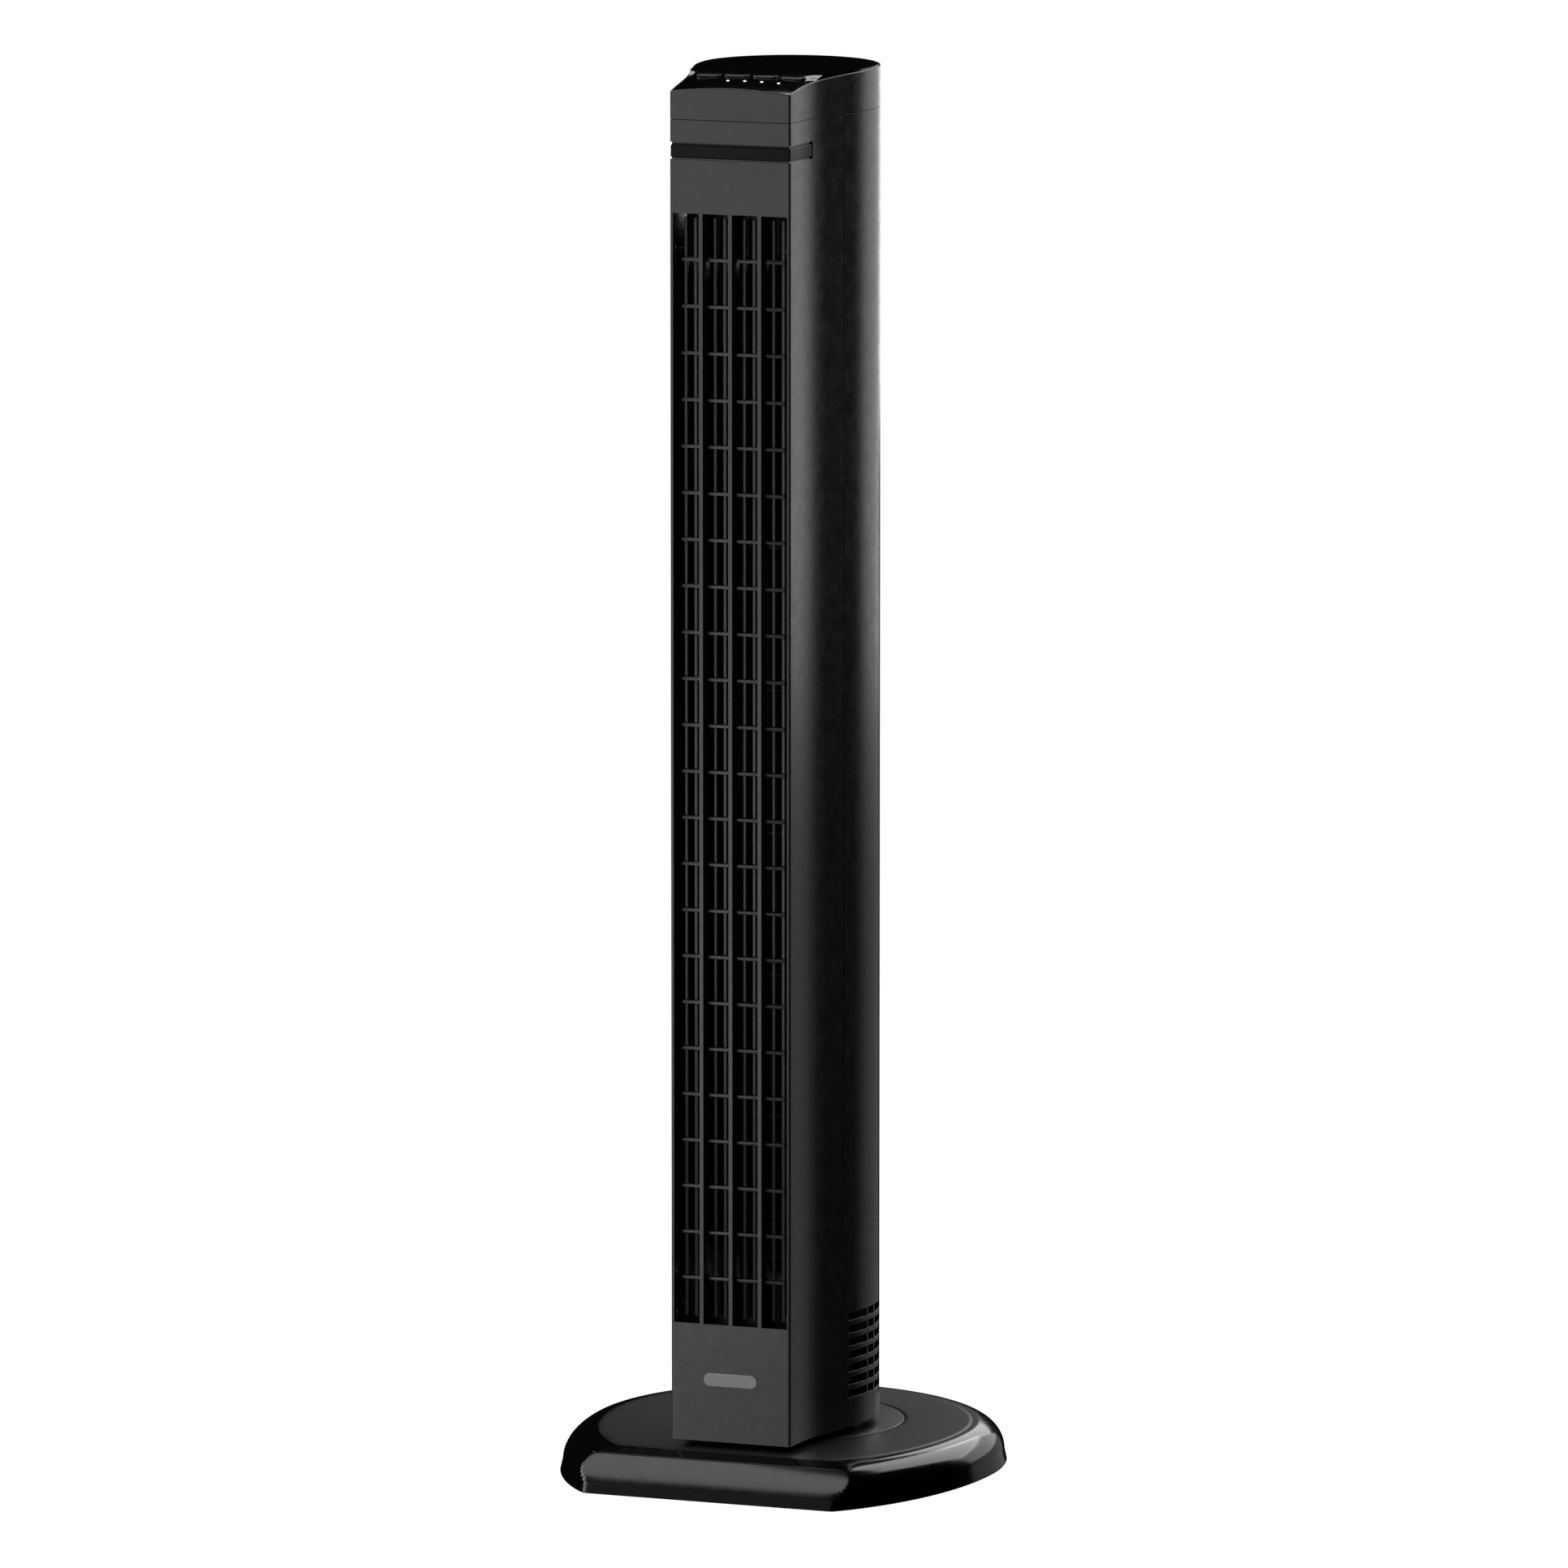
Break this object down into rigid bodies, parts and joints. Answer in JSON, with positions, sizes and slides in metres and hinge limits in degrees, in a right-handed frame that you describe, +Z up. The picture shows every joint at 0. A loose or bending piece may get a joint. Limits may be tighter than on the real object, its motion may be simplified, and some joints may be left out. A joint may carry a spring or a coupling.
{
  "type": "tower fan",
  "caption": "Slim oscillating tower fan: cross-flow impeller in a tall column with a grilled outlet, push-button deck and a flat-fronted round base.",
  "frame": {"origin": "on the floor, under the middle of the base's outline", "axes": "+Z up, -Y the way the air leaves, +X to the right when the fan is seen from the front"},
  "size_m": [0.2948, 0.3044, 0.9479],
  "materials": {
    "gloss_black": "gloss",
    "button_black": "gloss",
    "base_satin": "satin",
    "tower_satin": "satin",
    "grille_satin": "satin",
    "inner_plastic": "matte",
    "rubber": "matte",
    "steel": "satin",
    "plated_steel": "satin",
    "white_resin": "satin",
    "bronze": "satin",
    "winding": "gloss",
    "circuit_board": "gloss",
    "badge_grey": "satin",
    "capacitor": "gloss",
    "lamp_white": "gloss"
  },
  "bodies": {
    "base": {"base_front": "gloss_black", "base_rear": "gloss_black", "plateau_front": "base_satin", "plateau_rear": "base_satin", "rubber_feet": "rubber", "base_screws": "steel", "pivot_post": "white_resin", "post_screws": "steel", "bearing_ring": "white_resin", "retaining_collar": "inner_plastic", "fixed_gear": "white_resin", "lead_gland": "rubber"},
    "tower": {"turntable_disc": "base_satin", "neck": "gloss_black", "tower_bottom": "tower_satin", "front_housing": "tower_satin", "rear_housing": "tower_satin", "outlet_grille": "grille_satin", "intake_grille": "grille_satin", "trim_strip": "gloss_black", "top_cap": "tower_satin", "rear_cap_panel": "tower_satin", "control_deck": "gloss_black", "badge_plate": "badge_grey", "lamp_lenses": "lamp_white", "control_board": "circuit_board", "switches": "inner_plastic", "air_scroll": "inner_plastic", "air_tongue": "inner_plastic", "upper_baffle": "inner_plastic", "lower_baffle": "inner_plastic", "top_bracket": "inner_plastic", "bush_mount": "rubber", "top_bush": "bronze", "motor_plate": "inner_plastic", "motor_case": "plated_steel", "motor_stator": "winding", "motor_screws": "steel", "run_capacitor": "capacitor", "drive_bracket": "plated_steel", "swing_motor": "plated_steel", "housing_screws": "steel"},
    "impeller": {"impeller": "inner_plastic", "rotor": "steel", "hub_grommet": "rubber", "top_shaft": "steel"},
    "pinion": {"pinion": "white_resin"},
    "button_1": {"button_1": "button_black"},
    "button_2": {"button_2": "button_black"},
    "button_3": {"button_3": "button_black"},
    "button_4": {"button_4": "button_black"}
  },
  "joints": [
    {"name": "oscillation", "type": "hinge", "parent": "base", "child": "tower", "pos_m": [0, 0.0108, 0.03], "axis": [0, 0, 1], "range_deg": [-35, 35]},
    {"name": "impeller_spin", "type": "hinge", "parent": "tower", "child": "impeller", "pos_m": [0, 0.0028, 0.4], "axis": [0, 0, 1], "continuous": true},
    {"name": "pinion_spin", "type": "hinge", "parent": "tower", "child": "pinion", "pos_m": [0, -0.0292, 0.047], "axis": [0, 0, 1], "range_deg": [-105, 105]},
    {"name": "button_1_press", "type": "slide", "parent": "tower", "child": "button_1", "axis": [0, 0.1564, -0.9877], "range_m": [0, 0.001], "stiffness_N_per_m": 900},
    {"name": "button_2_press", "type": "slide", "parent": "tower", "child": "button_2", "axis": [0, 0.1564, -0.9877], "range_m": [0, 0.001], "stiffness_N_per_m": 900},
    {"name": "button_3_press", "type": "slide", "parent": "tower", "child": "button_3", "axis": [0, 0.1564, -0.9877], "range_m": [0, 0.001], "stiffness_N_per_m": 900},
    {"name": "button_4_press", "type": "slide", "parent": "tower", "child": "button_4", "axis": [0, 0.1564, -0.9877], "range_m": [0, 0.001], "stiffness_N_per_m": 900}
  ],
  "couplings": [
    {"joint": "pinion_spin", "follows": "oscillation", "ratio": 3}
  ]
}
